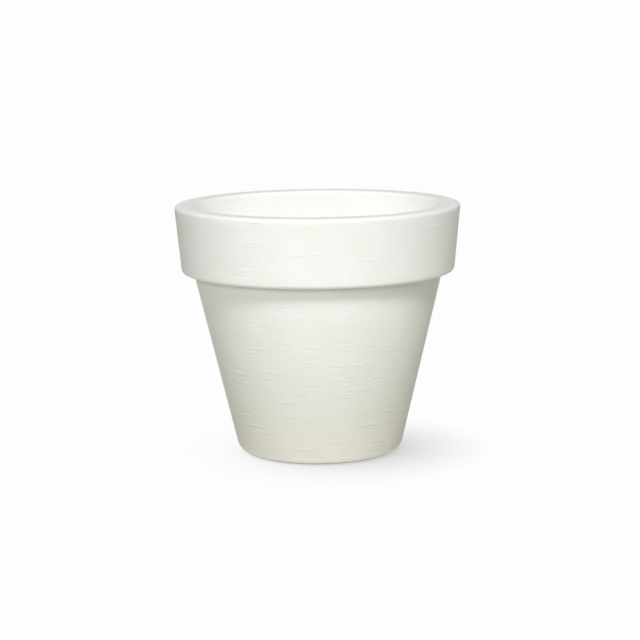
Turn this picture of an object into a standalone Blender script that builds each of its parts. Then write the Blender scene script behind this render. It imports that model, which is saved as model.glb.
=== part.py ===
"""Round moulded planter with a hollow collar, a lift-out drainage grate and four drain plugs.

Metres, +Z up. The origin is on the pot's axis, at the ground. The pot and the plugs are turned from
profiles of rounded corners, then cut or joined where they have holes, webs or tabs. The grate is laid
as rings of facets round its slots.
"""

import math

import bmesh
import bpy
from mathutils import Matrix, Vector

# Pot: outside
HEIGHT = 0.263
RIM_RADIUS = 0.150
BASE_RADIUS = 0.0855
COLLAR_HEIGHT = 0.0705
COLLAR_TAPER = 0.0067

# Pot: walls and the hollow of the collar
WALL = 0.006
SKIRT = 0.006
RIM_TOP = 0.006
FLOOR = 0.006
GROOVE_AT_TOP = 0.008
GROOVE_AT_MOUTH = 0.0063
WEB_COUNT = 16
WEB_THICKNESS = 0.003
WEB_SETBACK = 0.020

# Pot: foot and rounded edges
FOOT_RISE = 0.006
FOOT_WIDTH = 0.0105
FOOT_SLOPE = 0.003
BASE_EDGE = 0.0135
RIM_OUTER_EDGE = 0.004
RIM_INNER_EDGE = 0.009
LIP_OUTER_EDGE = 0.0055
LIP_INNER_EDGE = 0.0006
NECK_BEND = 0.060
FLOOR_CORNER = 0.012
GROOVE_CORNER = 0.0015
FOOT_CORNER = 0.002

# Drain holes and plugs
PLUG_COUNT = 4
HOLE_RADIUS = 0.009
HOLE_MARGIN = 0.012
PLUG_FLANGE_OVERLAP = 0.005
PLUG_FLANGE = 0.003
PLUG_RIDGES = 2
PLUG_RIDGE_DEPTH = 0.0008
PLUG_TIP_DROP = 0.003
PLUG_TIP_RADIUS = 0.007
TAB_WIDTH = 0.014
TAB_HEIGHT = 0.011
TAB_THICKNESS = 0.004
TAB_EYE_RADIUS = 0.003

# Drainage grate
GRATE_LIFT = 0.036
GRATE_PLATE = 0.003
GRATE_EDGE_HEIGHT = 0.014
GRATE_EDGE_PROUD = 0.004
GRATE_EDGE = 0.003
GRATE_RIB = 0.003
GRATE_RIB_DEPTH = 0.005
GRATE_EYE_RADIUS = 0.012
GRATE_CORNER = 0.001
SLOT_RINGS = 3
SLOT_WIDTH = 0.005
SLOT_BRIDGE = 0.006
SLOT_PITCH = 0.0125

# Fits and facets
CLEARANCE = 0.0003
EMBED = 0.001
SEGMENTS = 64
PLUG_SEGMENTS = 16
SLOT_END_STEPS = 4
CHORD_ERROR = 0.00012
SIDE_SHARE = 0.96
MERGE = 0.00001
SHARP_ANGLE = math.radians(32)
FLAT_ANGLE = math.radians(0.5)

# Sizes that follow from those above
NECK_HEIGHT = HEIGHT - COLLAR_HEIGHT
COLLAR_FOOT_RADIUS = RIM_RADIUS - COLLAR_TAPER
NECK_RADIUS = COLLAR_FOOT_RADIUS - SKIRT - GROOVE_AT_MOUTH
RIM_INNER_RADIUS = RIM_RADIUS - SKIRT - GROOVE_AT_TOP - WALL
WALL_SLOPE = (NECK_RADIUS - BASE_RADIUS) / NECK_HEIGHT
WALL_ACROSS = WALL * math.hypot(1, WALL_SLOPE)
FLOOR_TOP = FOOT_RISE + FLOOR
GROOVE_TOP = HEIGHT - RIM_TOP
GROOVE_INNER_CORNER = max(GROOVE_CORNER, RIM_INNER_EDGE - WALL)
FOOT_INNER_RADIUS = BASE_RADIUS - BASE_EDGE - FOOT_WIDTH
PLUG_CIRCLE = FOOT_INNER_RADIUS - FOOT_SLOPE - HOLE_MARGIN - HOLE_RADIUS
GRATE_TOP = FLOOR_TOP + GRATE_LIFT


def between(start, end, share):
    """The value that lies this share of the way from start to end."""
    return start + (end - start) * share


def inner_wall_radius(height):
    """Radius of the tapered wall's inside, below the collar."""
    return BASE_RADIUS + WALL_SLOPE * height - WALL_ACROSS


def collar_inside_radius(height):
    """Radius of the inside above the neck, where the wall stands steeper up to the rim."""
    share = (height - NECK_HEIGHT) / COLLAR_HEIGHT
    return between(inner_wall_radius(NECK_HEIGHT), RIM_INNER_RADIUS, share)


def collar_outside_radius(height):
    """Radius of the collar's outside, which leans out towards the rim."""
    share = (height - NECK_HEIGHT) / COLLAR_HEIGHT
    return between(COLLAR_FOOT_RADIUS, RIM_RADIUS, share)


def rounded(corners, closed=False):
    """Points along an outline of (x, z, radius) corners, each rounded by an arc of its radius.

    Two arcs that would meet on a short side are both drawn in until they fit it.
    """
    count = len(corners)
    points = [Vector(corner[:2]) for corner in corners]
    reach = []
    for index, corner in enumerate(corners):
        if not closed and index in (0, count - 1):
            reach.append(0.0)
            continue
        before = (points[index - 1] - points[index]).normalized()
        after = (points[(index + 1) % count] - points[index]).normalized()
        reach.append(corner[2] / math.tan(before.angle(after) / 2))
    room = [1.0] * count
    for index in range(count if closed else count - 1):
        following = (index + 1) % count
        side = (points[following] - points[index]).length
        wanted = reach[index] + reach[following]
        share = min(1.0, SIDE_SHARE * side / wanted) if wanted else 1.0
        room[index] = min(room[index], share)
        room[following] = min(room[following], share)
    outline = []
    for index, point in enumerate(points):
        tangent = reach[index] * room[index]
        if tangent < MERGE:
            outline.append(tuple(point))
            continue
        before = (points[index - 1] - point).normalized()
        after = (points[(index + 1) % count] - point).normalized()
        half = before.angle(after) / 2
        radius = tangent * math.tan(half)
        centre = point + (before + after).normalized() * (radius / math.sin(half))
        start = point + before * tangent - centre
        turn = math.pi - 2 * half
        side = before.x * after.y - before.y * after.x
        steps = max(2, math.ceil(turn / (2 * math.acos(max(0.0, 1 - CHORD_ERROR / radius)))))
        for step in range(steps + 1):
            angle = math.copysign(turn * step / steps, -side)
            offset = Matrix.Rotation(angle, 2) @ start
            outline.append(tuple(centre + offset))
    return outline


def plastic(name, colour, roughness):
    material = bpy.data.materials.new(name)
    material.use_nodes = True
    shader = material.node_tree.nodes["Principled BSDF"]
    shader.inputs["Base Color"].default_value = (*colour, 1)
    shader.inputs["Roughness"].default_value = roughness
    shader.inputs["Metallic"].default_value = 0
    return material


def linked(name, mesh, material=None):
    """A new object of this mesh in the scene."""
    made = bpy.data.objects.new(name, mesh)
    bpy.context.scene.collection.objects.link(made)
    if material:
        mesh.materials.append(material)
    return made


def baked(made):
    """Turns an object's modifiers into its mesh, shaded smooth but for its sharp edges."""
    graph = bpy.context.evaluated_depsgraph_get()
    graph.update()
    mesh = bpy.data.meshes.new_from_object(made.evaluated_get(graph))
    mesh.name = made.name
    made.modifiers.clear()
    made.data = mesh
    mesh.shade_smooth()
    mesh.set_sharp_from_angle(angle=SHARP_ANGLE)


def turned(name, outline, segments, material):
    """A solid turned about Z from an outline in X and Z that runs down its outer side.

    Its flat rings become whole faces, so that a hole cut later doesn't meet the edges of facets.
    """
    mesh = bpy.data.meshes.new(name)
    edges = [(index, index + 1) for index in range(len(outline) - 1)]
    mesh.from_pydata([(x, 0, z) for x, z in outline], edges, [])
    made = linked(name, mesh, material)
    screw = made.modifiers.new("Turn", "SCREW")
    screw.steps = segments
    screw.render_steps = segments
    screw.use_merge_vertices = True
    screw.merge_threshold = MERGE
    flats = made.modifiers.new("Whole flats", "DECIMATE")
    flats.decimate_type = "DISSOLVE"
    flats.angle_limit = FLAT_ANGLE
    baked(made)
    return made


def band(shape, low, high):
    """A closed band of faces between two loops of as many vertices."""
    for index in range(len(low)):
        following = (index + 1) % len(low)
        shape.faces.new((low[index], low[following], high[following], high[index]))


def finished(name, shape, material=None):
    """A new object from a bmesh, with its faces turned outwards."""
    bmesh.ops.recalc_face_normals(shape, faces=shape.faces)
    mesh = bpy.data.meshes.new(name)
    shape.to_mesh(mesh)
    shape.free()
    return linked(name, mesh, material)


def prisms(name, outline, depth, places):
    """One helper object that holds an extruded outline at each place, centred on its own plane."""
    shape = bmesh.new()
    for place in places:
        low, high = [
            [shape.verts.new(place @ Vector((x, y, level))) for x, y in outline]
            for level in (-depth / 2, depth / 2)
        ]
        shape.faces.new(reversed(low))
        shape.faces.new(high)
        band(shape, low, high)
    return finished(name, shape)


def combine(made, helper, operation):
    """Joins a helper to an object, or cuts it out, and removes the helper."""
    boolean = made.modifiers.new(operation.title(), "BOOLEAN")
    boolean.operation = operation
    boolean.solver = "EXACT"
    boolean.object = helper
    baked(made)
    bpy.data.objects.remove(helper)


def circle(radius, segments):
    steps = [2 * math.pi * index / segments for index in range(segments)]
    return [(radius * math.cos(angle), radius * math.sin(angle)) for angle in steps]


def skin(shape, outline):
    """Circles of vertices about Z through an outline's points, with bands of faces between them."""
    circles = []
    for radius, height in outline:
        circles.append([shape.verts.new((x, y, height)) for x, y in circle(radius, SEGMENTS)])
    for first, second in zip(circles, circles[1:]):
        band(shape, first, second)
    return circles


def slot_ends(shape, radius, length, turn, height):
    """Vertices of the outer and the inner round end of a slot along a radius, each by rising angle."""
    place = Matrix.Rotation(turn, 4, "Z")
    ends = []
    for side in (1, -1):
        centre = radius + side * (length - SLOT_WIDTH) / 2
        end = []
        for step in range(SLOT_END_STEPS + 1):
            angle = math.pi * (step / SLOT_END_STEPS - 0.5)
            x = centre + side * SLOT_WIDTH / 2 * math.cos(angle)
            y = SLOT_WIDTH / 2 * math.sin(angle)
            end.append(shape.verts.new(place @ Vector((x, y, height))))
        ends.append(end)
    return ends


def strip(shape, first, second):
    """Triangles between two runs of vertices that start and end side by side."""
    i = 0
    j = 0
    while i + j < len(first) + len(second) - 2:
        if (i + 1) * (len(second) - 1) <= (j + 1) * (len(first) - 1):
            shape.faces.new((first[i], first[i + 1], second[j]))
            i += 1
        else:
            shape.faces.new((first[i], second[j + 1], second[j]))
            j += 1


def slotted_flat(shape, inner, outer, slots):
    """A flat ring between two circles of vertices, with its facets laid round each of its slots."""
    share = SEGMENTS // len(slots)
    for index, (outer_end, inner_end) in enumerate(slots):
        facets = [(index * share + step) % SEGMENTS for step in range(share + 1)]
        outer_arc = [outer[facet] for facet in facets]
        inner_arc = [inner[facet] for facet in facets]
        strip(shape, outer_arc, outer_end)
        strip(shape, inner_arc, inner_end)
        for side in (0, -1):
            shape.faces.new((outer_arc[side], inner_arc[side], inner_end[side], outer_end[side]))


def around(count, radius, first=0.0):
    """Places on a circle about Z, each turned so that its X points outwards."""
    turns = [first + 2 * math.pi * index / count for index in range(count)]
    return [Matrix.Rotation(turn, 4, "Z") @ Matrix.Translation((radius, 0, 0)) for turn in turns]


def plug_places():
    return around(PLUG_COUNT, PLUG_CIRCLE, math.pi / PLUG_COUNT)


def pot_shell():
    """The one moulding: floor, wall and collar, with the collar's skirt hung outside the wall."""
    material = plastic("pot_plastic", (0.85, 0.84, 0.77), 0.55)
    shell = turned("pot_shell", rounded([
        (0, FLOOR_TOP, 0),
        (inner_wall_radius(FLOOR_TOP), FLOOR_TOP, FLOOR_CORNER),
        (inner_wall_radius(NECK_HEIGHT), NECK_HEIGHT, NECK_BEND),
        (RIM_INNER_RADIUS, HEIGHT, RIM_INNER_EDGE),
        (RIM_RADIUS, HEIGHT, RIM_OUTER_EDGE),
        (COLLAR_FOOT_RADIUS, NECK_HEIGHT, LIP_OUTER_EDGE),
        (COLLAR_FOOT_RADIUS - SKIRT, NECK_HEIGHT, LIP_INNER_EDGE),
        (collar_outside_radius(GROOVE_TOP) - SKIRT, GROOVE_TOP, GROOVE_CORNER),
        (collar_inside_radius(GROOVE_TOP) + WALL, GROOVE_TOP, GROOVE_INNER_CORNER),
        (NECK_RADIUS, NECK_HEIGHT, 0),
        (BASE_RADIUS, 0, BASE_EDGE),
        (FOOT_INNER_RADIUS, 0, FOOT_CORNER),
        (FOOT_INNER_RADIUS - FOOT_SLOPE, FOOT_RISE, FOOT_CORNER),
        (0, FOOT_RISE, 0),
    ]), SEGMENTS, material)
    combine(shell, collar_webs(), "UNION")
    hole = circle(HOLE_RADIUS, PLUG_SEGMENTS)
    level = Matrix.Translation((0, 0, FOOT_RISE + FLOOR / 2))
    holes = prisms("drain_holes", hole, FLOOR * 2, [level @ place for place in plug_places()])
    combine(shell, holes, "DIFFERENCE")


def collar_webs():
    """Upright webs that tie the collar's skirt to the wall, hidden in the groove."""
    low = NECK_HEIGHT + WEB_SETBACK
    high = GROOVE_TOP + EMBED
    outline = [
        (collar_inside_radius(low) + WALL - EMBED, low),
        (collar_outside_radius(low) - SKIRT + EMBED, low),
        (collar_outside_radius(high) - SKIRT + EMBED, high),
        (collar_inside_radius(high) + WALL - EMBED, high),
    ]
    upright = Matrix.Rotation(math.pi / 2, 4, "X")
    facet_centre = math.pi / SEGMENTS
    places = [place @ upright for place in around(WEB_COUNT, 0, facet_centre)]
    return prisms("collar_webs", outline, WEB_THICKNESS, places)


def drainage_grate():
    """A slotted disc whose conical edge wedges in the pot's taper, stiffened by ring ribs."""
    material = plastic("grate_plastic", (0.045, 0.047, 0.048), 0.6)
    edge_top = GRATE_EDGE_PROUD
    edge_foot = GRATE_EDGE_PROUD - GRATE_EDGE_HEIGHT
    top_radius = inner_wall_radius(GRATE_TOP + edge_top) - CLEARANCE
    foot_radius = inner_wall_radius(GRATE_TOP + edge_foot) - CLEARANCE
    plate_radius = foot_radius - GRATE_EDGE
    inner_top_radius = top_radius - GRATE_EDGE
    hub_radius = GRATE_EYE_RADIUS + GRATE_RIB
    slot_length = (plate_radius - hub_radius - SLOT_BRIDGE * (SLOT_RINGS + 1)) / SLOT_RINGS
    ring_step = slot_length + SLOT_BRIDGE
    under_plate = -GRATE_PLATE
    under_rib = under_plate - GRATE_RIB_DEPTH
    shape = bmesh.new()
    edge = skin(shape, rounded([
        (plate_radius, 0, 0),
        (inner_top_radius, edge_top, 0),
        (top_radius, edge_top, GRATE_CORNER),
        (foot_radius, edge_foot, GRATE_CORNER),
        (plate_radius, edge_foot, 0),
        (plate_radius, under_plate, 0),
    ]))
    hub = skin(shape, [
        (hub_radius, under_plate),
        (hub_radius, under_rib),
        (GRATE_EYE_RADIUS, under_rib),
        (GRATE_EYE_RADIUS, 0),
        (hub_radius, 0),
    ])
    top = [hub[-1]]
    under = [hub[0]]
    for ring in range(1, SLOT_RINGS):
        rib_radius = hub_radius + SLOT_BRIDGE / 2 + ring * ring_step
        rib = skin(shape, [
            (rib_radius - GRATE_RIB / 2, under_plate),
            (rib_radius - GRATE_RIB / 2, under_rib),
            (rib_radius + GRATE_RIB / 2, under_rib),
            (rib_radius + GRATE_RIB / 2, under_plate),
        ])
        top += skin(shape, [(rib_radius, 0)])
        under += [rib[0], rib[-1]]
    top.append(edge[0])
    under.append(edge[-1])
    for ring in range(SLOT_RINGS):
        radius = hub_radius + SLOT_BRIDGE + slot_length / 2 + ring * ring_step
        count = 2 ** int(math.log2(2 * math.pi * radius / SLOT_PITCH))
        turns = [2 * math.pi * (index + 0.5) / count for index in range(count)]
        upper = [slot_ends(shape, radius, slot_length, turn, 0) for turn in turns]
        lower = [slot_ends(shape, radius, slot_length, turn, under_plate) for turn in turns]
        slotted_flat(shape, top[ring], top[ring + 1], upper)
        slotted_flat(shape, under[2 * ring], under[2 * ring + 1], lower)
        for above, below in zip(upper, lower):
            band(shape, above[0] + above[1][::-1], below[0] + below[1][::-1])
    grate = finished("drainage_grate", shape, material)
    baked(grate)
    grate.location.z = GRATE_TOP


def drain_plugs():
    """Push-in stoppers: a flange on the floor, a ridged shank through the hole and a pull tab."""
    material = plastic("plug_rubber", (0.03, 0.03, 0.03), 0.75)
    reach = FLOOR + PLUG_TIP_DROP
    ridge_radius = HOLE_RADIUS - CLEARANCE
    neck_radius = ridge_radius - PLUG_RIDGE_DEPTH
    flange_radius = HOLE_RADIUS + PLUG_FLANGE_OVERLAP
    ridge_step = FLOOR / PLUG_RIDGES
    corners = [
        (0, PLUG_FLANGE, 0),
        (flange_radius, PLUG_FLANGE, PLUG_FLANGE / 3),
        (flange_radius, 0, 0),
        (neck_radius, 0, 0),
    ]
    for ridge in range(PLUG_RIDGES):
        middle = -ridge_step * (ridge + 0.5)
        corners.append((neck_radius, middle + ridge_step / 4, 0))
        corners.append((ridge_radius, middle, 0))
        corners.append((neck_radius, middle - ridge_step / 4, 0))
    corners += [(PLUG_TIP_RADIUS, -reach, 0), (0, -reach, 0)]
    first = turned("drain_plug_1", rounded(corners), PLUG_SEGMENTS, material)
    shoulder = PLUG_FLANGE + TAB_HEIGHT - TAB_WIDTH / 2
    tab = rounded([
        (-TAB_WIDTH / 2, PLUG_FLANGE - EMBED, 0),
        (TAB_WIDTH / 2, PLUG_FLANGE - EMBED, 0),
        (TAB_WIDTH / 2, PLUG_FLANGE + TAB_HEIGHT, TAB_WIDTH / 2),
        (-TAB_WIDTH / 2, PLUG_FLANGE + TAB_HEIGHT, TAB_WIDTH / 2),
    ], closed=True)
    upright = Matrix.Rotation(math.pi / 2, 4, "X")
    combine(first, prisms("pull_tab", tab, TAB_THICKNESS, [upright]), "UNION")
    eye_place = Matrix.Translation((0, 0, shoulder)) @ upright
    eye = prisms("tab_eye", circle(TAB_EYE_RADIUS, PLUG_SEGMENTS), TAB_THICKNESS * 2, [eye_place])
    combine(first, eye, "DIFFERENCE")
    for index, place in enumerate(plug_places()):
        plug = first if index == 0 else linked(f"drain_plug_{index + 1}", first.data)
        plug.matrix_world = Matrix.Translation((0, 0, FLOOR_TOP + CLEARANCE)) @ place


def main():
    for old in list(bpy.data.objects):
        bpy.data.objects.remove(old)
    pot_shell()
    drainage_grate()
    drain_plugs()


main()
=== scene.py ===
# %% [markdown]
# # A round moulded planter
# The CAD frame holds the planter at its real size, in metres, with the origin on the ground under
# the pot's axis: one tapered moulding with a deep hollow collar, a lift-out drainage grate and
# four drain plugs. Those solids are right in size and place, but plain and faceted. This lesson
# gives each of them a finer surface in the same place and a finish made of shader nodes, and then
# sets up the floor, the light and the camera of the photograph.

# %% Load the frame
import math

import bmesh
import bpy
import numpy as np
from mathutils import Matrix, Vector


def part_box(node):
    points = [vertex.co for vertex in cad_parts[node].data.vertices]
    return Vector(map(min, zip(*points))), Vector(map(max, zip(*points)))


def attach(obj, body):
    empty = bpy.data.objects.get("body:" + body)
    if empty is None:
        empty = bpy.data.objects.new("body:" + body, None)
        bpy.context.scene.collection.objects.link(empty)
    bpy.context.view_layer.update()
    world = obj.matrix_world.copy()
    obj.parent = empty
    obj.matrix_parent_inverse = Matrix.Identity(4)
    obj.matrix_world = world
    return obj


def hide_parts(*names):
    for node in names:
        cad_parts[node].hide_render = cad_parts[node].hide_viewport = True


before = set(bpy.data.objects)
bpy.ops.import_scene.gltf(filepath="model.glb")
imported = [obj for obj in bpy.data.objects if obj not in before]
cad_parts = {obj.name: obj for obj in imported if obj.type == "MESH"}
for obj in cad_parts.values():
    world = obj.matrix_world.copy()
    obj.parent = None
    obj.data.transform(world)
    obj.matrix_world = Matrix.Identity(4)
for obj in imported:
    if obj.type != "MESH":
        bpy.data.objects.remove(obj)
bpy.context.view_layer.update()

# %% [markdown]
# ## The camera
# A photograph of a turned object gives its own viewpoint away: how flat the rim's ellipse looks
# gives the elevation, and how much smaller the base's ellipse is gives the distance. Here the
# view looks down by almost ten degrees from two metres away, through a long lens. A tilt of the
# camera by less than a degree and a small shift put the pot where the picture has it, a little
# low and left.

# %% Camera at the photograph's viewpoint
IMAGE_SIDE = 640
SENSOR = 36.0
FOCAL_PIXELS = 1990.6
TARGET = Vector((0, 0, 0.1316))
DISTANCE = 2.1107
ELEVATION = math.radians(9.72)
ROLL = math.radians(-0.691)
TARGET_OFFSET = (-1.243, -6.281)

lens = bpy.data.cameras.new("photo_camera")
lens.sensor_width = SENSOR
lens.lens = FOCAL_PIXELS / IMAGE_SIDE * SENSOR
lens.shift_x = -TARGET_OFFSET[0] / IMAGE_SIDE
lens.shift_y = -TARGET_OFFSET[1] / IMAGE_SIDE
camera = bpy.data.objects.new("photo_camera", lens)
bpy.context.scene.collection.objects.link(camera)
aim = Matrix.Rotation(math.pi / 2 - ELEVATION, 4, "X") @ Matrix.Rotation(ROLL, 4, "Z")
camera.matrix_world = Matrix.Translation(TARGET) @ aim @ Matrix.Translation((0, 0, DISTANCE))
bpy.context.scene.camera = camera
viewpoint = [round(v, 3) for v in camera.matrix_world.translation]
print("Camera at", viewpoint, "with a lens of", round(lens.lens, 1), "mm")

# %% [markdown]
# ## Surfaces from grids
# Every piece here is one or more sheets: grids of points worked out by a formula, with rows one
# way and columns the other. A sheet may close on itself either way, as a turned shape does round
# its axis. Sheets that share an edge have the same points there, so merging doubles closes the
# seams, and only then are the faces turned outwards.

# %% Sheets of points become one mesh
MERGE = 0.000003


def grid_faces(copies, rows, columns, closed_rows, closed_columns):
    """Corners of each cell of each copy: (i, j), (i + 1, j), (i + 1, j + 1), (i, j + 1)."""
    copy, row, column = np.meshgrid(
        np.arange(copies) * rows * columns,
        np.arange(rows if closed_rows else rows - 1),
        np.arange(columns if closed_columns else columns - 1),
        indexing="ij",
    )
    next_row = (row + 1) % rows
    next_column = (column + 1) % columns
    corners = [(row, column), (next_row, column), (next_row, next_column), (row, next_column)]
    return np.stack([copy + r * columns + c for r, c in corners], axis=-1).reshape(-1, 4)


def make_piece(name, *sheets):
    """One object from (points, closed_rows, closed_columns) sheets.

    The points of a sheet may hold several copies of it.
    """
    points = []
    faces = []
    first = 0
    for grid, closed_rows, closed_columns in sheets:
        grid = grid.reshape(-1, *grid.shape[-3:])
        faces.append(grid_faces(*grid.shape[:3], closed_rows, closed_columns) + first)
        points.append(grid.reshape(-1, 3))
        first += len(points[-1])
    points = np.concatenate(points)
    faces = np.concatenate(faces)
    mesh = bpy.data.meshes.new(name)
    mesh.vertices.add(len(points))
    mesh.vertices.foreach_set("co", points.astype(np.float32).ravel())
    mesh.loops.add(faces.size)
    mesh.loops.foreach_set("vertex_index", faces.astype(np.int32).ravel())
    mesh.polygons.add(len(faces))
    mesh.polygons.foreach_set("loop_start", np.arange(0, faces.size, 4, dtype=np.int32))
    mesh.update(calc_edges=True)
    shape = bmesh.new()
    shape.from_mesh(mesh)
    bmesh.ops.remove_doubles(shape, verts=shape.verts, dist=MERGE)
    bmesh.ops.recalc_face_normals(shape, faces=shape.faces)
    open_edges = sum(len(edge.link_faces) != 2 for edge in shape.edges)
    shape.to_mesh(mesh)
    shape.free()
    mesh.shade_smooth()
    piece = bpy.data.objects.new(name, mesh)
    bpy.context.scene.collection.objects.link(piece)
    print(f"{name}: {len(mesh.polygons)} faces, {open_edges} open edges")
    return piece


# %% [markdown]
# ## Profiles with rounded corners
# A moulded or turned shape is drawn as its half section: a list of corners, each with the radius
# of its rounding. Real edges are never sharp, and it is the roundings that catch the light, so
# each corner becomes an arc that leaves one side and joins the next without a kink.

# %% Rounded profiles and turning
ARC_STEPS = 9
RUN_SPACING = 0.006
NEAR_ZERO = 1e-9


def rounded_profile(corners, spacing=RUN_SPACING, closed=False):
    """Rounds (r, z, radius) corners and splits runs longer than the spacing.

    The arc's centre lies on the corner's bisector, at radius / sin(half the angle). The arc blends
    its two ends about that centre with the weights sin((1 - t) a) / sin a and sin(t a) / sin a.
    """
    corners = np.array(corners, dtype=float)
    points = corners[:, :2]
    radius = corners[:, 2:]
    before = np.roll(points, 1, axis=0) - points
    after = np.roll(points, -1, axis=0) - points
    before /= np.linalg.norm(before, axis=1, keepdims=True)
    after /= np.linalg.norm(after, axis=1, keepdims=True)
    half = np.arccos(np.clip(np.sum(before * after, axis=1, keepdims=True), -1, 1)) / 2
    middle = before + after
    middle /= np.maximum(np.linalg.norm(middle, axis=1, keepdims=True), NEAR_ZERO)
    centre = points + middle * radius / np.sin(half)
    start = points + before * radius / np.tan(half) - centre
    end = points + after * radius / np.tan(half) - centre
    turn = np.pi - 2 * half
    share = np.linspace(0, 1, ARC_STEPS)
    leaving = (np.sin((1 - share) * turn) / np.sin(turn))[:, :, None]
    joining = (np.sin(share * turn) / np.sin(turn))[:, :, None]
    arcs = centre[:, None] + leaving * start[:, None] + joining * end[:, None]
    path = arcs.reshape(-1, 2)
    if closed:
        path = np.vstack([path, path[:1]])
    runs = np.diff(path, axis=0)
    lengths = np.linalg.norm(runs, axis=1)
    parts = np.where(lengths < MERGE, 0, np.maximum(1, np.ceil(lengths / spacing))).astype(int)
    run = np.repeat(np.arange(len(parts)), parts)
    part = np.arange(len(run)) - np.repeat(np.cumsum(parts) - parts, parts)
    split = path[run] + runs[run] * (part / parts[run])[:, None]
    return split if closed else np.vstack([split, path[-1:]])


def turned(profile, segments):
    """Turns a profile about Z: (r cos a, r sin a, z) for each of its points and each angle a."""
    angle = np.arange(segments) * 2 * np.pi / segments
    radius = profile[:, :1]
    height = profile[:, 1:] + np.zeros(segments)
    return np.stack([radius * np.cos(angle), radius * np.sin(angle), height], axis=-1)


def spun(points, angles):
    """Copies of a sheet, each turned about Z by one of the angles."""
    cos = np.cos(angles)
    sin = np.sin(angles)
    none = np.zeros_like(cos)
    turns = np.array([[cos, -sin, none], [sin, cos, none], [none, none, none + 1]])
    return np.einsum("abk,...b->k...a", turns, points)


print("Profiles use", ARC_STEPS, "points to an arc")

# %% [markdown]
# ## The moulding
# The pot itself is one moulding. Its half section runs from the floor up the inside of the
# tapered wall, over the flat rim, down the collar and round its lip, up into the hollow that the
# collar hides and down its other side, then down the wall to the rounded base, and in under the
# foot ring. The sizes are the CAD model's own, so the finer skin lies on the solid it stands for.
# Only two places differ from it: the rim reaches 2 mm further in with a sharper inner edge, and
# the lip of the collar is a little sharper too.

# %% Sizes of the pot
HEIGHT = 0.263
NECK_HEIGHT = 0.1925
RIM_RADIUS = 0.150
RIM_INNER_RADIUS = 0.128
LIP_RADIUS = 0.1433
NECK_RADIUS = 0.131
BASE_RADIUS = 0.0855
WALL = 0.006
FOOT_RISE = 0.006
FLOOR_TOP = 0.012
FOOT_INNER_RADIUS = 0.0615
RECESS_RADIUS = 0.0585
FLOOR_RING = 0.068
RECESS_RING = 0.054
FLOOR_CORNER = 0.012
NECK_BEND = 0.060
RIM_INNER_EDGE = 0.004
RIM_OUTER_EDGE = 0.004
LIP_OUTER_EDGE = 0.0042
LIP_INNER_EDGE = 0.0006
GROOVE_CORNER = 0.0015
GROOVE_INNER_CORNER = 0.003
NECK_CORNER = 0.0012
BASE_EDGE = 0.0135
FOOT_CORNER = 0.002
POT_SEGMENTS = 288

GROOVE_TOP = HEIGHT - WALL
WALL_SLOPE = (NECK_RADIUS - BASE_RADIUS) / NECK_HEIGHT
WALL_ACROSS = WALL * math.hypot(1, WALL_SLOPE)
print("The wall leans outwards by", round(math.degrees(math.atan(WALL_SLOPE)), 1), "degrees")

# %% Half section of the pot
def inner_wall_radius(height):
    """Radius of the tapered wall's inside: the outside line less the wall, measured level."""
    return BASE_RADIUS + WALL_SLOPE * height - WALL_ACROSS


def collar_inside(height):
    """Radius of the inside above the neck, a straight line from the wall to the rim."""
    share = (height - NECK_HEIGHT) / (HEIGHT - NECK_HEIGHT)
    return inner_wall_radius(NECK_HEIGHT) * (1 - share) + RIM_INNER_RADIUS * share


def collar_outside(height):
    """Radius of the collar's face, a straight line from its lip to the rim."""
    share = (height - NECK_HEIGHT) / (HEIGHT - NECK_HEIGHT)
    return LIP_RADIUS * (1 - share) + RIM_RADIUS * share


pot_profile = rounded_profile([
    (FLOOR_RING, FLOOR_TOP, 0),
    (inner_wall_radius(FLOOR_TOP), FLOOR_TOP, FLOOR_CORNER),
    (inner_wall_radius(NECK_HEIGHT), NECK_HEIGHT, NECK_BEND),
    (RIM_INNER_RADIUS, HEIGHT, RIM_INNER_EDGE),
    (RIM_RADIUS, HEIGHT, RIM_OUTER_EDGE),
    (LIP_RADIUS, NECK_HEIGHT, LIP_OUTER_EDGE),
    (LIP_RADIUS - WALL, NECK_HEIGHT, LIP_INNER_EDGE),
    (collar_outside(GROOVE_TOP) - WALL, GROOVE_TOP, GROOVE_CORNER),
    (collar_inside(GROOVE_TOP) + WALL, GROOVE_TOP, GROOVE_INNER_CORNER),
    (NECK_RADIUS, NECK_HEIGHT, NECK_CORNER),
    (BASE_RADIUS, 0, BASE_EDGE),
    (FOOT_INNER_RADIUS, 0, FOOT_CORNER),
    (RECESS_RADIUS, FOOT_RISE, FOOT_CORNER),
    (RECESS_RING, FOOT_RISE, 0),
])
print("Half section:", len(pot_profile), "points")

# %% [markdown]
# ## The floor and its drain holes
# Holes could be cut with a Boolean, but a cut leaves long thin faces and sharp hole edges.
# Instead each quarter of the floor is a sheet of its own: it starts at the quarter's outline,
# closes in on the drain hole, rounds over its edge, goes down through the floor and spreads out
# again below.

# %% Floor quarters
PLUG_CIRCLE = 0.0375
HOLE_RADIUS = 0.009
HOLE_EDGE = 0.0008
QUARTERS = 4
SPOKE_STEPS = 12
SPREAD_STEPS = 8
HOLE_EDGE_STEPS = 5


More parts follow.
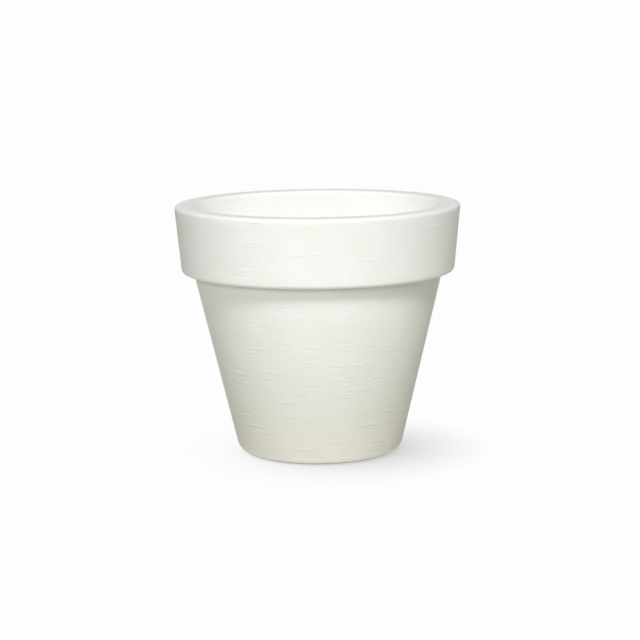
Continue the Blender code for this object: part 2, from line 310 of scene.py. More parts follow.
def floor_quarter():
    """A quarter of the floor as a sheet of closed loops, through its hole from above to below.

    A loop on either face blends from the quarter's outline to the hole's circle. The edge of the
    hole is a quarter arc in radius and height.
    """
    along = np.linspace(0, 1, SPOKE_STEPS, endpoint=False)
    angle = np.linspace(0, 2 * np.pi / QUARTERS, POT_SEGMENTS // QUARTERS, endpoint=False)
    outline = np.concatenate([
        np.stack([along, 0 * along], axis=-1),
        np.stack([np.cos(angle), np.sin(angle)], axis=-1),
        np.stack([0 * along, 1 - along], axis=-1),
    ])
    middle = math.pi / QUARTERS
    centre = PLUG_CIRCLE * np.array([math.cos(middle), math.sin(middle)])
    arm = outline * FLOOR_RING - centre
    arm /= np.linalg.norm(arm, axis=1, keepdims=True)
    share = np.linspace(0, 1, SPREAD_STEPS, endpoint=False)[:, None, None]
    mouth = centre + arm * (HOLE_RADIUS + HOLE_EDGE)
    upper = outline * FLOOR_RING * (1 - share) + mouth * share
    lower = (outline * RECESS_RING * (1 - share) + mouth * share)[::-1]
    bend = np.linspace(0, np.pi / 2, HOLE_EDGE_STEPS)
    edge_radius = HOLE_RADIUS + HOLE_EDGE * (1 - np.sin(bend))
    edge_drop = HOLE_EDGE * (1 - np.cos(bend))
    radius = np.concatenate([edge_radius, edge_radius[::-1]])
    through = centre + arm * radius[:, None, None]
    flat = np.concatenate([upper, through, lower])
    height = np.concatenate([
        np.full(len(upper), FLOOR_TOP),
        FLOOR_TOP - edge_drop,
        FOOT_RISE + edge_drop[::-1],
        np.full(len(lower), FOOT_RISE),
    ])
    level = np.broadcast_to(height[:, None, None], (*flat.shape[:2], 1))
    return np.concatenate([flat, level], axis=-1)


quarters = spun(floor_quarter(), np.arange(QUARTERS) * 2 * np.pi / QUARTERS)
pot_moulding = make_piece(
    "pot_moulding",
    (turned(pot_profile, POT_SEGMENTS), False, True),
    (quarters, False, True),
)

# %% [markdown]
# ## Webs inside the collar
# A hollow collar this deep would flex when the pot is lifted by it, so such mouldings have thin
# upright webs between the collar's skirt and the wall. They show only from below. Each web is a
# loop, round at its lower edge, carried from the wall to the skirt. Both walls lean, so a point's
# radius depends on its height as well as on its share of the way across. As on the solid, which
# has 64 sides, the first web stands in the middle of a side.

# %% Collar webs
WEB_COUNT = 16
WEB_THICKNESS = 0.003
WEB_SETBACK = 0.020
WEB_BITE = 0.001
WEB_SIDE_STEPS = 12
WEB_BEND_STEPS = 11
WEB_ACROSS_STEPS = 5
SOLID_SIDES = 64


def collar_web():
    """Carries a loop of (y, z) from the wall to the skirt: x blends between them at each height.

    The first and the last row are folded flat, which closes the two ends.
    """
    low = NECK_HEIGHT + WEB_SETBACK + WEB_THICKNESS / 2
    high = GROOVE_TOP + WEB_BITE
    side = np.linspace(0, 1, WEB_SIDE_STEPS)
    bend = np.linspace(0, np.pi, WEB_BEND_STEPS)
    y = np.concatenate([side * 0 - 1, -np.cos(bend), side * 0 + 1]) * WEB_THICKNESS / 2
    z = np.concatenate([
        high + (low - high) * side,
        low - np.sin(bend) * WEB_THICKNESS / 2,
        low + (high - low) * side,
    ])
    across = np.pad(np.linspace(0, 1, WEB_ACROSS_STEPS), 1, mode="edge")[:, None]
    open_out = np.pad(np.ones(WEB_ACROSS_STEPS), 1)[:, None]
    near = collar_inside(z) + WALL - WEB_BITE
    far = collar_outside(z) - WALL + WEB_BITE
    x = near * (1 - across) + far * across
    return np.stack([x, y * open_out, z + 0 * x], axis=-1)


first_web = math.pi / SOLID_SIDES
webs = spun(collar_web(), first_web + np.arange(WEB_COUNT) * 2 * np.pi / WEB_COUNT)
collar_webs = make_piece("collar_webs", (webs, False, True))

# %% [markdown]
# ## The drainage grate
# The grate is a slotted disc that wedges in the taper above the floor and keeps the soil out of
# the drain space. Its slots run outwards in three rings of eight, sixteen and thirty-two. Each
# slot gets a cell of the disc: a sheet that starts at the cell's outline, closes in on the slot,
# rounds its edge, goes down through the plate and spreads out below. Neighbouring cells share
# their outlines.

# %% Slotted disc
GRATE_TOP = 0.048
PLATE = 0.003
CLEARANCE = 0.0003
EDGE_PROUD = 0.004
EDGE_DROP = 0.010
EDGE = 0.003
RIB = 0.003
RIB_DEPTH = 0.005
EYE_RADIUS = 0.012
SLOT_WIDTH = 0.005
SLOT_BRIDGE = 0.006
SLOT_EDGE = 0.0006
SLOT_COUNTS = (8, 16, 32)
SLOT_SIDE_STEPS = 8
SLOT_SPREAD_STEPS = 4
SLOT_EDGE_STEPS = 4
GRATE_SEGMENTS = 192
SEAT = 0.0006

edge_top_radius = inner_wall_radius(GRATE_TOP + EDGE_PROUD) - CLEARANCE
edge_foot_radius = inner_wall_radius(GRATE_TOP - EDGE_DROP) - CLEARANCE
plate_radius = edge_foot_radius - EDGE
hub_radius = EYE_RADIUS + RIB
rings = len(SLOT_COUNTS)
slot_length = (plate_radius - hub_radius - SLOT_BRIDGE * (rings + 1)) / rings
ring_step = slot_length + SLOT_BRIDGE
rib_radii = [hub_radius + SLOT_BRIDGE / 2 + ring * ring_step for ring in range(1, rings)]
cell_edges = [hub_radius - SEAT, *rib_radii, plate_radius + SEAT]


def slot_cell(inner, outer, middle, count):
    """One cell of a slotted ring, as a sheet of closed loops from its upper to its lower outline.

    A point of the outline is drawn towards the slot's spine, the line between its two round ends.
    The spine's nearest point plus half a slot's width in that direction lies on the slot's edge.
    """
    half = math.pi / count
    arc = np.linspace(-half, half, GRATE_SEGMENTS // count + 1)
    side = np.linspace(0, 1, SLOT_SIDE_STEPS + 1)[1:-1]
    reach = outer + (inner - outer) * side
    outline = np.concatenate([
        outer * np.stack([np.cos(arc), np.sin(arc)], axis=-1),
        reach[:, None] * np.array([math.cos(half), math.sin(half)]),
        inner * np.stack([np.cos(arc[::-1]), np.sin(arc[::-1])], axis=-1),
        reach[::-1, None] * np.array([math.cos(half), -math.sin(half)]),
    ])
    straight = (slot_length - SLOT_WIDTH) / 2
    spine = np.clip(outline[:, :1], middle - straight, middle + straight) * np.array([1, 0])
    arm = outline - spine
    arm /= np.linalg.norm(arm, axis=1, keepdims=True)
    share = np.linspace(0, 1, SLOT_SPREAD_STEPS, endpoint=False)[:, None, None]
    mouth = spine + arm * (SLOT_WIDTH / 2 + SLOT_EDGE)
    upper = outline * (1 - share) + mouth * share
    bend = np.linspace(0, np.pi / 2, SLOT_EDGE_STEPS)
    edge_radius = SLOT_WIDTH / 2 + SLOT_EDGE * (1 - np.sin(bend))
    edge_drop = SLOT_EDGE * (1 - np.cos(bend))
    radius = np.concatenate([edge_radius, edge_radius[::-1]])
    flat = np.concatenate([upper, spine + arm * radius[:, None, None], upper[::-1]])
    height = np.concatenate([
        np.zeros(len(upper)), -edge_drop, edge_drop[::-1] - PLATE, np.full(len(upper), -PLATE),
    ])
    level = np.broadcast_to(height[:, None, None] + GRATE_TOP, (*flat.shape[:2], 1))
    return np.concatenate([flat, level], axis=-1)


grate_sheets = []
for ring, count in enumerate(SLOT_COUNTS):
    middle = hub_radius + SLOT_BRIDGE + slot_length / 2 + ring * ring_step
    cell = slot_cell(cell_edges[ring], cell_edges[ring + 1], middle, count)
    grate_sheets.append((spun(cell, (np.arange(count) + 0.5) * 2 * np.pi / count), False, True))
for radius in (cell_edges[0], cell_edges[-1]):
    wall = np.array([[radius, GRATE_TOP], [radius, GRATE_TOP - PLATE]])
    grate_sheets.append((turned(wall, GRATE_SEGMENTS), False, True))
print("Slots:", sum(SLOT_COUNTS), "of", round(slot_length * 1000, 1), "mm")

# %% [markdown]
# ## The grate's edge, hub and ribs
# A plate of this size needs stiffening: two ring ribs below it, a hub round the finger hole and a
# conical edge that takes the wall's slope. Each is a closed half section turned about the axis,
# with its corners rounded as a mould leaves them, and bites a little into the plate that carries
# it.

# %% Turned rings of the grate
GRATE_CORNER = 0.001
PLATE_CORNER = 0.0006
RIB_FOOT_CORNER = 0.0008
RIB_CROWN_CORNER = 0.0005


def grate_ring(corners):
    """A closed half section, in heights from the plate's upper face, turned about Z."""
    placed = [(radius, GRATE_TOP + height, edge) for radius, height, edge in corners]
    return turned(rounded_profile(placed, closed=True), GRATE_SEGMENTS), True, True


grate_sheets.append(grate_ring([
    (plate_radius, 0, PLATE_CORNER),
    (edge_top_radius - EDGE, EDGE_PROUD, GRATE_CORNER),
    (edge_top_radius, EDGE_PROUD, GRATE_CORNER),
    (edge_foot_radius, -EDGE_DROP, GRATE_CORNER),
    (edge_foot_radius - EDGE, -EDGE_DROP, GRATE_CORNER),
]))
hub = (EYE_RADIUS + RIB / 2, 0)
ribs = [(radius, SEAT - PLATE) for radius in rib_radii]
for radius, crown in [hub, *ribs]:
    grate_sheets.append(grate_ring([
        (radius + RIB / 2, crown, RIB_CROWN_CORNER),
        (radius + RIB / 2, -PLATE - RIB_DEPTH, RIB_FOOT_CORNER),
        (radius - RIB / 2, -PLATE - RIB_DEPTH, RIB_FOOT_CORNER),
        (radius - RIB / 2, crown, RIB_CROWN_CORNER),
    ]))
slotted_grate = make_piece("slotted_grate", *grate_sheets)

# %% [markdown]
# ## The drain plugs
# Each plug is a rubber stopper: a flange that lies on the floor, a shank with two soft ridges
# that grip the hole, and a tab with an eye to pull it by. The stopper is turned. The tab is a
# ring about its eye: at each angle its section reaches from the eye to the tab's outline, which
# is a half circle above and straight sides below.

# %% Half section of a stopper
FLANGE = 0.003
FLANGE_OVERLAP = 0.005
FLANGE_EDGE = 0.001
FLANGE_FOOT_EDGE = 0.0004
RIDGE_DEPTH = 0.0008
RIDGE_DROPS = (0.0015, 0.0045)
RIDGE_HALF = 0.00075
SHANK_EDGE = 0.0003
TIP_DROP = 0.009
TIP_RADIUS = 0.007
TIP_EDGE = 0.001
STOPPER_SPACING = 0.002

flange_radius = HOLE_RADIUS + FLANGE_OVERLAP
ridge_radius = HOLE_RADIUS - CLEARANCE
shank_radius = ridge_radius - RIDGE_DEPTH
ridges = []
for drop in RIDGE_DROPS:
    ridges += [
        (shank_radius, RIDGE_HALF - drop, SHANK_EDGE),
        (ridge_radius, -drop, SHANK_EDGE),
        (shank_radius, -RIDGE_HALF - drop, SHANK_EDGE),
    ]
stopper_profile = rounded_profile([
    (0, FLANGE, 0),
    (flange_radius, FLANGE, FLANGE_EDGE),
    (flange_radius, 0, FLANGE_FOOT_EDGE),
    (shank_radius, 0, SHANK_EDGE),
    *ridges,
    (TIP_RADIUS, -TIP_DROP, TIP_EDGE),
    (0, -TIP_DROP, 0),
], spacing=STOPPER_SPACING)
print("Stopper's half section:", len(stopper_profile), "points")

# %% Pull tab and the four plugs
TAB_WIDTH = 0.014
TAB_HEIGHT = 0.011
TAB_THICKNESS = 0.004
TAB_EYE = 0.003
TAB_BITE = 0.001
TAB_STEPS = 96
BAR_STEPS = 32
BAR_SQUARENESS = 6
PLUG_SEGMENTS = 72


def pull_tab():
    """A ring about the tab's eye; its section is a rounded bar between the eye and the outline.

    The outline is half the tab's width away above, and below it is the nearer of the straight side,
    width / 2 / |cos a|, and the foot, depth / |sin a|. The bar's section is a circle drawn out
    towards a square.
    """
    angle = np.linspace(0, 2 * np.pi, TAB_STEPS, endpoint=False)
    eye_height = FLANGE + TAB_HEIGHT - TAB_WIDTH / 2
    depth = eye_height - FLANGE + TAB_BITE
    side = TAB_WIDTH / 2 / np.maximum(np.abs(np.cos(angle)), NEAR_ZERO)
    foot = depth / np.maximum(np.abs(np.sin(angle)), NEAR_ZERO)
    reach = np.where(np.sin(angle) >= 0, TAB_WIDTH / 2, np.minimum(side, foot))
    turn = np.linspace(0, 2 * np.pi, BAR_STEPS, endpoint=False)
    powers = np.abs(np.cos(turn)) ** BAR_SQUARENESS + np.abs(np.sin(turn)) ** BAR_SQUARENESS
    square = 1 / powers ** (1 / BAR_SQUARENESS)
    across = (square * np.cos(turn))[:, None]
    thick = (square * np.sin(turn))[:, None]
    arm = (reach + TAB_EYE) / 2 + across * (reach - TAB_EYE) / 2
    x = arm * np.cos(angle)
    z = eye_height + arm * np.sin(angle)
    return np.stack([x, thick * TAB_THICKNESS / 2 + 0 * x, z], axis=-1)


plugs = []
for number in range(1, QUARTERS + 1):
    low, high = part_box(f"drain_plug_{number}")
    place = np.array([(low[0] + high[0]) / 2, (low[1] + high[1]) / 2, FLOOR_TOP + CLEARANCE])
    facing = np.array([math.atan2(place[1], place[0])])
    stopper = spun(turned(stopper_profile, PLUG_SEGMENTS), facing) + place
    tab = spun(pull_tab(), facing) + place
    plugs.append(make_piece(f"drain_stopper_{number}", (stopper, False, True), (tab, True, True)))

# %% [markdown]
# ## Shared shader effects
# Three effects are used more than once, so each is a node group with named inputs: soft clouds of
# tint, the fine grain that a mould leaves, and single level dashes like the strokes of a dry
# brush. The first two are noise textures. Stretched noise would give streaks that run into each
# other, so the dashes come from Voronoi cells in a space drawn out sideways, where each cell
# holds one dash of its own strength. The groups put out plain values only, and each material
# decides what to do with them.

# %% Node helpers
def add_node(tree, kind, values=(), **settings):
    """A node with its settings, and with (socket, value) pairs filled in.

    A plain value is set, and a value that is another node's socket is linked.
    """
    node = tree.nodes.new("ShaderNode" + kind)
    for name, value in settings.items():
        setattr(node, name, value)
    for name, value in values:
        if isinstance(value, bpy.types.NodeSocket):
            tree.links.new(value, node.inputs[name])
        else:
            node.inputs[name].default_value = value
    return node


def math_node(tree, operation, *values):
    """The result of a Math node on its values in order."""
    return add_node(tree, "Math", list(enumerate(values)), operation=operation).outputs[0]


def remap(tree, value, low, high, to_low=0.0, to_high=1.0):
    """Maps low..high to to_low..to_high with a smooth ease at both ends."""
    values = [
        ("Value", value), ("From Min", low), ("From Max", high),
        ("To Min", to_low), ("To Max", to_high),
    ]
    return add_node(tree, "MapRange", values, interpolation_type="SMOOTHSTEP").outputs["Result"]


def new_group(name, inputs, outputs):
    """An empty node group with a Position input, float inputs and float outputs."""
    tree = bpy.data.node_groups.new(name, "ShaderNodeTree")
    tree.interface.new_socket("Position", in_out="INPUT", socket_type="NodeSocketVector")
    for label in inputs:
        tree.interface.new_socket(label, in_out="INPUT", socket_type="NodeSocketFloat")
    for label in outputs:
        tree.interface.new_socket(label, in_out="OUTPUT", socket_type="NodeSocketFloat")
    return tree, tree.nodes.new("NodeGroupInput").outputs, tree.nodes.new("NodeGroupOutput").inputs


def place_group(tree, group, position, **values):
    """The outputs of a group placed in a tree; patch_size=0.02 fills its input Patch size."""
    given = [(name.replace("_", " ").capitalize(), value) for name, value in values.items()]
    return add_node(tree, "Group", [("Position", position), *given], node_tree=group).outputs


print("Node helpers ready")

# %% Tint clouds and moulded grain
CLOUD_BAND = (0.3, 0.7)
GRAIN_BAND = (0.25, 0.75)


def build_tint_clouds():
    """Soft patches of 0 to 1, about one patch size across."""
    tree, given, result = new_group("tint_clouds", ["Patch size"], ["Cloud"])
    scale = math_node(tree, "DIVIDE", 1.0, given["Patch size"])
    noise = add_node(tree, "TexNoise", [
        ("Vector", given["Position"]), ("Scale", scale), ("Detail", 3.0), ("Roughness", 0.55),
    ])
    tree.links.new(remap(tree, noise.outputs["Fac"], *CLOUD_BAND), result["Cloud"])
    return tree


def build_moulded_grain():
    """Fine even grain about one grain size across, 0 to 1."""
    tree, given, result = new_group("moulded_grain", ["Grain size"], ["Height"])
    scale = math_node(tree, "DIVIDE", 1.0, given["Grain size"])
    noise = add_node(tree, "TexNoise", [
        ("Vector", given["Position"]), ("Scale", scale), ("Detail", 1.0), ("Roughness", 0.5),
    ])
    tree.links.new(remap(tree, noise.outputs["Fac"], *GRAIN_BAND), result["Height"])
    return tree


tint_clouds = build_tint_clouds()
moulded_grain = build_moulded_grain()
print("Groups:", tint_clouds.name, moulded_grain.name)

# %% Brush dashes
DASH_EDGE = 0.32
DASH_CORE = 0.04
FAINTEST_DASH = 0.2
BOLDEST_DASH = 0.75
SUNK_BELOW = 0.34
RAISED_ABOVE = 0.36


def drawn_out(tree, position, length, height):
    """The position over a length sideways and a height upwards, to draw a pattern out level."""
    parts = add_node(tree, "SeparateXYZ", [("Vector", position)]).outputs
    return add_node(tree, "CombineXYZ", [
        ("X", math_node(tree, "DIVIDE", parts["X"], length)),
        ("Y", math_node(tree, "DIVIDE", parts["Y"], length)),
        ("Z", math_node(tree, "DIVIDE", parts["Z"], height)),
    ]).outputs["Vector"]


def build_brush_dashes():
    """Single level dashes: how far each is raised or sunk, and how strongly it shows, 0 to 1.

    Space drawn out level is cut into cells round random points. A dash lies about each point and
    fades with the distance from it. Each cell's random colour says how strong its dash is, and
    whether it is raised or sunk. A share below 1 gives the rest of the cells the faintest dash.
    """
    tree, given, result = new_group(
        "brush_dashes", ["Dash length", "Dash height", "Share"], ["Height", "Dash"],
    )
    level = drawn_out(tree, given["Position"], given["Dash length"], given["Dash height"])
    cells = add_node(tree, "TexVoronoi", [
        ("Vector", level), ("Scale", 1.0), ("Randomness", 1.0),
    ]).outputs
    inside = remap(tree, cells["Distance"], DASH_EDGE, DASH_CORE)
    chance = add_node(tree, "SeparateColor", [("Color", cells["Color"])]).outputs
    weakest = math_node(tree, "SUBTRACT", 1.0, given["Share"])
    strength = remap(tree, chance["Red"], weakest, 1.0, FAINTEST_DASH, BOLDEST_DASH)
    dash = math_node(tree, "MULTIPLY", inside, strength)
    side = remap(tree, chance["Green"], SUNK_BELOW, RAISED_ABOVE, -1.0, 1.0)
    tree.links.new(dash, result["Dash"])
    tree.links.new(math_node(tree, "MULTIPLY", dash, side), result["Height"])
    return tree


brush_dashes = build_brush_dashes()
print("Group:", brush_dashes.name)

# %% [markdown]
# ## The pot's finish
# The pot is a satin ivory plastic with a hand-brushed look: separate level dashes, stronger on
# the lower body than on the collar, over clouds of a warmer and a cooler ivory. Towards the foot
# its colour is painted darker and greyer, as painted shade. The last centimetre is painted paler,
# as painted light from the floor on the base's rounding, and a thin dark line along the edge that
# stands on the ground is a painted contact shadow. The dashes are relief, so they go to the
# normal, and the sharpest of them are painted paler too, as painted glints. The inside has one
# plain colour of its own, set to how bright the lit inner wall shows, without the painted shade or
# glints. A mask finds it by the distance behind the outer wall.

# %% Material helpers
MIX_SHARE, MIX_FIRST, MIX_SECOND, MIX_RESULT = 0, 6, 7, 2


def new_material(name):
    """A material with its tree, its shader and the Object coordinates."""
    material = bpy.data.materials.new(name)
    material.use_nodes = True
    tree = material.node_tree
    position = add_node(tree, "TexCoord").outputs["Object"]
    return material, tree, tree.nodes["Principled BSDF"], position


def blend_colours(tree, share, first, second):
    """Mixes two colours, each of them plain or a socket.

    The Mix node has sockets for every kind of data, so those for colour are taken by number.
    """
    first, second = [
        colour if isinstance(colour, bpy.types.NodeSocket) else (*colour, 1)
        for colour in (first, second)
    ]
    values = [(MIX_SHARE, share), (MIX_FIRST, first), (MIX_SECOND, second)]
    return add_node(tree, "Mix", values, data_type="RGBA").outputs[MIX_RESULT]


def relief(tree, shader, height, depth):
    """Sends a height to the shader's normal; a height of 1 stands the depth proud."""
    bump = add_node(tree, "Bump", [("Strength", 1.0), ("Distance", depth), ("Height", height)])
    tree.links.new(bump.outputs["Normal"], shader.inputs["Normal"])


print("Material helpers ready")

# %% Tints of the pot
WARM_IVORY = (0.908, 0.899, 0.893)
COOL_IVORY = (0.932, 0.924, 0.946)
# Painted shade: the outer wall is painted darker and greyer towards the foot, where less light
# falls.
PAINTED_FOOT_SHADE_IVORY = (0.705, 0.694, 0.660)
# Painted glints: the sharpest dashes are painted paler, as small highlights.
PAINTED_GLINT_IVORY = (0.96, 0.955, 0.95)
# The inside's own plain tint is set to how bright the lit inner wall shows: a painted light level.
INSIDE_PAINTED_LIGHT_IVORY = (0.900, 0.899, 0.880)
# Painted light: the last centimetre is painted paler, as the floor's light on the base's rounding.
PAINTED_FLOOR_LIGHT_IVORY = (0.84, 0.83, 0.845)
# Painted shadow: a thin dark line along the ground edge stands for the contact shadow.
PAINTED_CONTACT_SHADOW = (0.52, 0.515, 0.50)
PAINTED_FOOT_SHADE_BAND = (0.20, 0.0)
PAINTED_FLOOR_LIGHT_BAND = (0.011, 0.005)
PAINTED_CONTACT_SHADOW_BAND = (0.0030, 0.0012)
INSIDE_PAINTED_LIGHT_BAND = (0.003, 0.006)
CLOUD_PATCH = 0.034
GLINT_SHARPNESS = 6.0
GLINT_SHARE = 0.6


def ivory_colour(tree, position, clouds, dash):
    """The tints one over the other: ivory, painted shade towards the foot, painted glints, the
    plain inside, painted floor light on the last centimetre and a painted contact shadow.
    """
    parts = add_node(tree, "SeparateXYZ", [("Vector", position)]).outputs
    height = parts["Z"]
    level = add_node(tree, "CombineXYZ", [("X", parts["X"]), ("Y", parts["Y"])]).outputs["Vector"]
    radius = add_node(tree, "VectorMath", [(0, level)], operation="LENGTH").outputs["Value"]
    outer_wall = math_node(tree, "MULTIPLY_ADD", height, WALL_SLOPE, BASE_RADIUS)
    # The inside's own tint, set to how bright the lit inner wall shows, covers the painted shade
    # and glints.
    inside = remap(tree, math_node(tree, "SUBTRACT", outer_wall, radius), *INSIDE_PAINTED_LIGHT_BAND)
    # Painted glints: the strongest dashes get a paler colour.
    painted_glints = math_node(tree, "MULTIPLY", math_node(tree, "POWER", dash, GLINT_SHARPNESS), GLINT_SHARE)
    colour = blend_colours(tree, clouds, WARM_IVORY, COOL_IVORY)
    for share, tint in [
        # Painted shade, darker towards the foot.
        (remap(tree, height, *PAINTED_FOOT_SHADE_BAND), PAINTED_FOOT_SHADE_IVORY),
        # Painted glints.
        (painted_glints, PAINTED_GLINT_IVORY),
        # The inside's tint, set to its lit brightness.
        (inside, INSIDE_PAINTED_LIGHT_IVORY),
        # Painted light from the floor on the last centimetre.
        (remap(tree, height, *PAINTED_FLOOR_LIGHT_BAND), PAINTED_FLOOR_LIGHT_IVORY),
        # Painted contact shadow along the ground edge.
        (remap(tree, height, *PAINTED_CONTACT_SHADOW_BAND), PAINTED_CONTACT_SHADOW),
    ]:
        colour = blend_colours(tree, share, colour, tint)
    return colour


print("Tints of the pot run from", WARM_IVORY, "to", PAINTED_FOOT_SHADE_IVORY)

# %% Brushed ivory plastic
DASHES = {
    "fine": {"dash_length": 0.040, "dash_height": 0.0034, "share": 1.0},
    "short": {"dash_length": 0.016, "dash_height": 0.0046, "share": 0.90},
    "middling": {"dash_length": 0.030, "dash_height": 0.0056, "share": 0.95},
    "long": {"dash_length": 0.064, "dash_height": 0.0068, "share": 0.90},
}
DASH_WEIGHTS = {"fine": 0.6, "short": 0.7, "middling": 1.0, "long": 1.0}
IVORY_GRAIN = 0.0014
GRAIN_WEIGHT = 0.05
BODY_BAND = (0.20, 0.07)
WEIGHT_ON_COLLAR = 0.55
WEIGHT_ON_BODY = 1.1
WEIGHT_BETWEEN_CLOUDS = 0.5
IVORY_RELIEF = 0.00052
IVORY_ROUGHNESS = 0.58
CLOUD_ROUGHNESS = 0.06
DASH_POLISH = -0.08
IVORY_SPECULAR = 0.12


def brushed_ivory():
    """Satin ivory whose dashes stand in the normal and shine a little more."""
    material, tree, shader, position = new_material("brushed_ivory_plastic")
    clouds = place_group(tree, tint_clouds, position, patch_size=CLOUD_PATCH)["Cloud"]
    grain = place_group(tree, moulded_grain, position, grain_size=IVORY_GRAIN)["Height"]
    dashes = {name: place_group(tree, brush_dashes, position, **DASHES[name]) for name in DASHES}
    # The short dashes also carry the painted glints in the colour.
    colour = ivory_colour(tree, position, clouds, dashes["short"]["Dash"])
    tree.links.new(colour, shader.inputs["Base Color"])
    marks = 0.0
    for name, weight in DASH_WEIGHTS.items():
        marks = math_node(tree, "MULTIPLY_ADD", dashes[name]["Height"], weight, marks)
    height = add_node(tree, "SeparateXYZ", [("Vector", position)]).outputs["Z"]
    on_body = remap(tree, height, *BODY_BAND, WEIGHT_ON_COLLAR, WEIGHT_ON_BODY)
    in_clouds = math_node(
        tree, "MULTIPLY_ADD", clouds, 1 - WEIGHT_BETWEEN_CLOUDS, WEIGHT_BETWEEN_CLOUDS,
    )
    marks = math_node(tree, "MULTIPLY", marks, math_node(tree, "MULTIPLY", in_clouds, on_body))
    relief(tree, shader, math_node(tree, "MULTIPLY_ADD", grain, GRAIN_WEIGHT, marks), IVORY_RELIEF)
    satin = math_node(tree, "MULTIPLY_ADD", clouds, CLOUD_ROUGHNESS, IVORY_ROUGHNESS)
    polished = math_node(tree, "MULTIPLY_ADD", dashes["middling"]["Dash"], DASH_POLISH, satin)
    tree.links.new(polished, shader.inputs["Roughness"])
    shader.inputs["Specular IOR Level"].default_value = IVORY_SPECULAR
    return material


ivory_plastic = brushed_ivory()
print("Finish:", ivory_plastic.name)

# %% [markdown]
# ## The grate's and the plugs' finish
# The grate is dark grey plastic straight from a textured mould, so it has grain and faint clouds.
# The plugs are black rubber: rougher, with a coarser bloom of pale dust and hardly any shine.

# %% Grate plastic and plug rubber
GRAIN_SHARE = 0.25
CLOUDED_ROUGHNESS = 0.1


def moulded_finish(name, dark, pale, patch, grain_size, depth, roughness):
    """Two tints in clouds and grain, grain in the normal, and roughness that follows the clouds."""
    material, tree, shader, position = new_material(name)
    clouds = place_group(tree, tint_clouds, position, patch_size=patch)["Cloud"]
    grain = place_group(tree, moulded_grain, position, grain_size=grain_size)["Height"]
    clouded = math_node(tree, "MULTIPLY", clouds, 1 - GRAIN_SHARE)
    share = math_node(tree, "MULTIPLY_ADD", grain, GRAIN_SHARE, clouded)
    tree.links.new(blend_colours(tree, share, dark, pale), shader.inputs["Base Color"])
    relief(tree, shader, grain, depth)
    rough = math_node(tree, "MULTIPLY_ADD", clouds, CLOUDED_ROUGHNESS, roughness)
    tree.links.new(rough, shader.inputs["Roughness"])
    return material


grate_plastic = moulded_finish(
    "grained_grey_plastic", dark=(0.036, 0.037, 0.039), pale=(0.052, 0.053, 0.055),
    patch=0.020, grain_size=0.0008, depth=0.00005, roughness=0.5,
)
plug_rubber = moulded_finish(
    "black_plug_rubber", dark=(0.018, 0.018, 0.018), pale=(0.034, 0.033, 0.031),
    patch=0.006, grain_size=0.0005, depth=0.00003, roughness=0.7,
)
print("Finishes:", grate_plastic.name, plug_rubber.name)

# %% [markdown]
# ## Finishes and bodies
# Each piece takes its finish and the body that it moves with: the grate lifts out of the pot, and
# the plugs pull up by their tabs.

# %% Dress the pieces
def dress(piece, material, slot, body, *nodes):
    """Gives a piece its material and body, and hides the CAD nodes it stands for.

    The slot is not used.
    """
    piece.data.materials.append(material)
    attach(piece, body)
    if nodes:
        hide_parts(*nodes)
    print(piece.name, "rides on", body)


dress(pot_moulding, ivory_plastic, "pot_plastic", "pot", "pot_shell")
dress(collar_webs, ivory_plastic, "pot_plastic", "pot")
dress(slotted_grate, grate_plastic, "grate_plastic", "grate", "drainage_grate")
for number, plug in enumerate(plugs, start=1):
    dress(plug, plug_rubber, "plug_rubber", f"plug_{number}", f"drain_plug_{number}")

# %% [markdown]
# ## The floor
# The photograph's floor and backdrop are one white without a horizon, and only a soft shadow
# shows round the foot, darkest on the right. The camera's rays, and those that a gloss or a glass
# sends on, see a white that is dimmed where the pot hides the sky from the floor. Leaning the sky
# to the left throws that shadow to the right. All other rays meet a matt floor that lights the
# pot from below. It is paler near the pot than further off, so that the foot gets more of that
# light than the collar.

# %% White floor that keeps the shadow
WHITE = 0.983
FLOOR_REACH = 60.0
FLOOR_RINGS = (0.0, 0.3, 2.0, FLOOR_REACH)
FLOOR_SEGMENTS = 96
NEAR_BOUNCE = (0.80, 0.805, 0.70)
FAR_BOUNCE = (0.50, 0.503, 0.44)
BOUNCE_BAND = (0.15, 0.90)
SHADOW_DEPTH = 0.50
SHADOW_REACH = 0.095
SHADOW_FALLOFF = 1.5
SHADOW_SAMPLES = 16
SKY_LEAN = (-0.6, 0.0, 0.8)


def seen_directly(tree):
    """1 for camera, glossy and transmission rays, and 0 for the rays that light the object."""
    path = add_node(tree, "LightPath").outputs
    seen = math_node(tree, "MAXIMUM", path["Is Camera Ray"], path["Is Glossy Ray"])
    return math_node(tree, "MAXIMUM", seen, path["Is Transmission Ray"])


floor_sheet = turned(np.array([[radius, 0.0] for radius in FLOOR_RINGS]), FLOOR_SEGMENTS)
floor = make_piece("white_floor", (floor_sheet, False, True))
floor_material, tree, shader, position = new_material("white_floor")
tree.nodes.remove(shader)
lean = add_node(tree, "CombineXYZ", list(enumerate(SKY_LEAN))).outputs["Vector"]
sky = add_node(tree, "AmbientOcclusion", [
    ("Distance", SHADOW_REACH), ("Normal", lean),
], samples=SHADOW_SAMPLES).outputs["AO"]
blocked = math_node(tree, "SUBTRACT", 1.0, sky)
hidden = math_node(tree, "POWER", blocked, SHADOW_FALLOFF)
shade = math_node(tree, "MULTIPLY_ADD", hidden, -WHITE * SHADOW_DEPTH, WHITE)
shown = add_node(tree, "Emission", [("Color", (1, 1, 1, 1)), ("Strength", shade)])
away = add_node(tree, "VectorMath", [(0, position)], operation="LENGTH").outputs["Value"]
matt = blend_colours(tree, remap(tree, away, *BOUNCE_BAND), NEAR_BOUNCE, FAR_BOUNCE)
bounce = add_node(tree, "BsdfDiffuse", [("Color", matt)])
either = add_node(tree, "MixShader", [
    (0, seen_directly(tree)), (1, bounce.outputs[0]), (2, shown.outputs[0]),
])
tree.links.new(either.outputs[0], tree.nodes["Material Output"].inputs["Surface"])
floor.data.materials.append(floor_material)
print("Floor radius:", FLOOR_REACH)

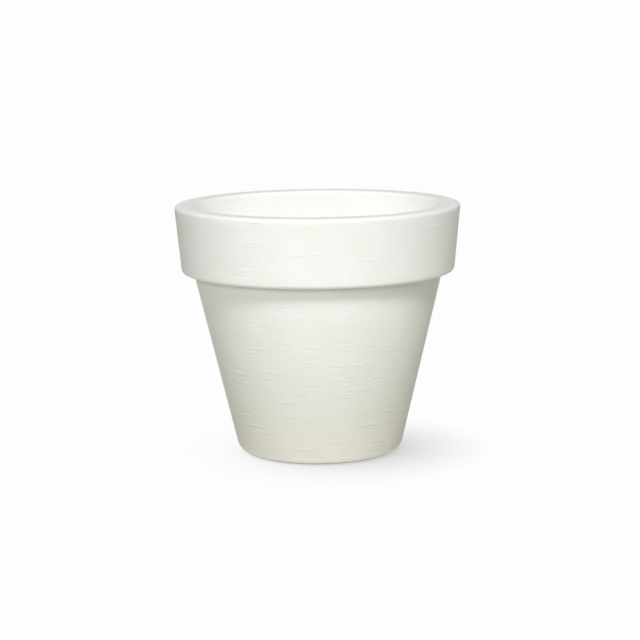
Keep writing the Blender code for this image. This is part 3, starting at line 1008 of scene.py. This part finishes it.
# %% [markdown]
# ## Light
# The collar's face is brighter than the flat rim, and both sides fall off to grey, so the light
# comes from the front: a high soft lamp, which also reaches the inside of the far wall, and a
# weaker low one from the left. The rest comes evenly from all round. The inner wall stays bright
# up to both ends of the rim, more than light from the front can give it, so two small lamps hang
# in the mouth and face those ends. A white sheet that faces a round area light is lit to a level
# of about power / (pi distance)^2.

# %% Lamps and surroundings
AMBIENT = (0.190, 0.192, 0.166)
KEY_DISTANCE = 8.0
MOUTH_LAMPS = (("left", -1, 0.31), ("right", 1, 0.33))
MOUTH_LAMP_DISTANCE = 0.108
MOUTH_LAMP_SIZE = 0.06
MOUTH_LAMP_HEIGHT = 0.21

world = bpy.data.worlds.new("white_studio")
bpy.context.scene.world = world
world.use_nodes = True
tree = world.node_tree
surround = blend_colours(tree, seen_directly(tree), AMBIENT, (WHITE,) * 3)
tree.links.new(surround, tree.nodes["Background"].inputs["Color"])


def soft_lamp(name, level, azimuth, elevation, distance, size, target=TARGET):
    """A round area light aimed at a point; azimuth 0 is the camera's side, and left is negative."""
    lamp = bpy.data.lights.new(name, "AREA")
    lamp.shape = "DISK"
    lamp.size = size
    lamp.energy = level * (math.pi * distance) ** 2
    placed = bpy.data.objects.new(name, lamp)
    bpy.context.scene.collection.objects.link(placed)
    tilt = Matrix.Rotation(math.pi / 2 - math.radians(elevation), 4, "X")
    aimed = Matrix.Rotation(math.radians(azimuth), 4, "Z") @ tilt
    placed.matrix_world = Matrix.Translation(target) @ aimed @ Matrix.Translation((0, 0, distance))
    place = [round(v, 2) for v in placed.matrix_world.translation]
    print(name, "at", place, "with", round(lamp.energy, 3), "W")


soft_lamp("high_key", level=0.63, azimuth=7, elevation=47, distance=KEY_DISTANCE, size=2.0)
soft_lamp("low_key", level=0.30, azimuth=-15, elevation=21, distance=KEY_DISTANCE, size=2.6)
for end, side, level in MOUTH_LAMPS:
    soft_lamp(
        f"mouth_fill_{end}", level, azimuth=-90 * side, elevation=0, distance=MOUTH_LAMP_DISTANCE,
        size=MOUTH_LAMP_SIZE, target=(side * RIM_INNER_RADIUS, 0, MOUTH_LAMP_HEIGHT),
    )
bpy.context.scene.view_settings.view_transform = "Standard"
